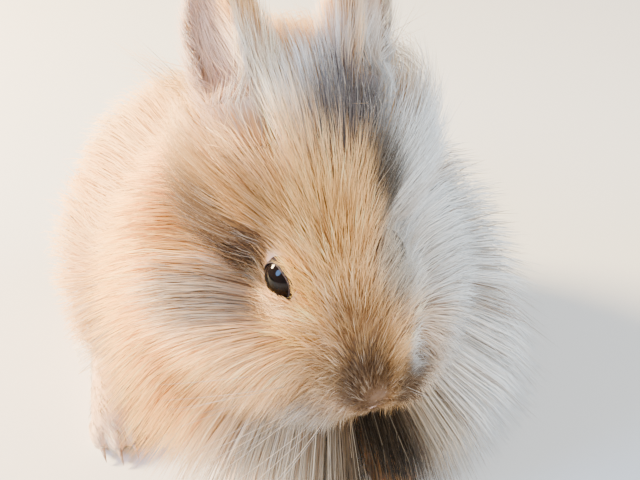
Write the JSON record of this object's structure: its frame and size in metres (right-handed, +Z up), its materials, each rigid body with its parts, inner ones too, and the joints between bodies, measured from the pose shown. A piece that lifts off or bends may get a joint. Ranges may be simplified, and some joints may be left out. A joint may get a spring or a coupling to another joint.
{
  "type": "lionhead rabbit",
  "caption": "Long-haired small rabbit with a full mane and cheek ruff, sitting low on all four feet with its nose lowered; a still life-size model",
  "frame": {"origin": "on the floor under the middle of the model's box", "axes": "+Z up, -Y the way the rabbit faces, +X the rabbit's left"},
  "size_m": [0.1641, 0.2296, 0.1899],
  "materials": {
    "face_fur": "soft fawn and orange-tan fur with grey ticking",
    "mane": "long silky cream and fawn fur",
    "coat": "long soft pale cream fur",
    "pale_fur": "short white-cream fur",
    "eye": "wet black gloss",
    "skin": "soft pink-grey bare skin",
    "claw": "satin horn"
  },
  "bodies": {
    "root": {"head": "face_fur", "neck": "mane", "torso": "coat", "tail": "pale_fur", "ear_left": "face_fur", "ear_right": "face_fur", "eye_left": "eye", "eye_right": "eye", "foreleg_left": "pale_fur", "foreleg_right": "pale_fur", "hindleg_left": "coat", "hindleg_right": "coat"}
  },
  "joints": []
}
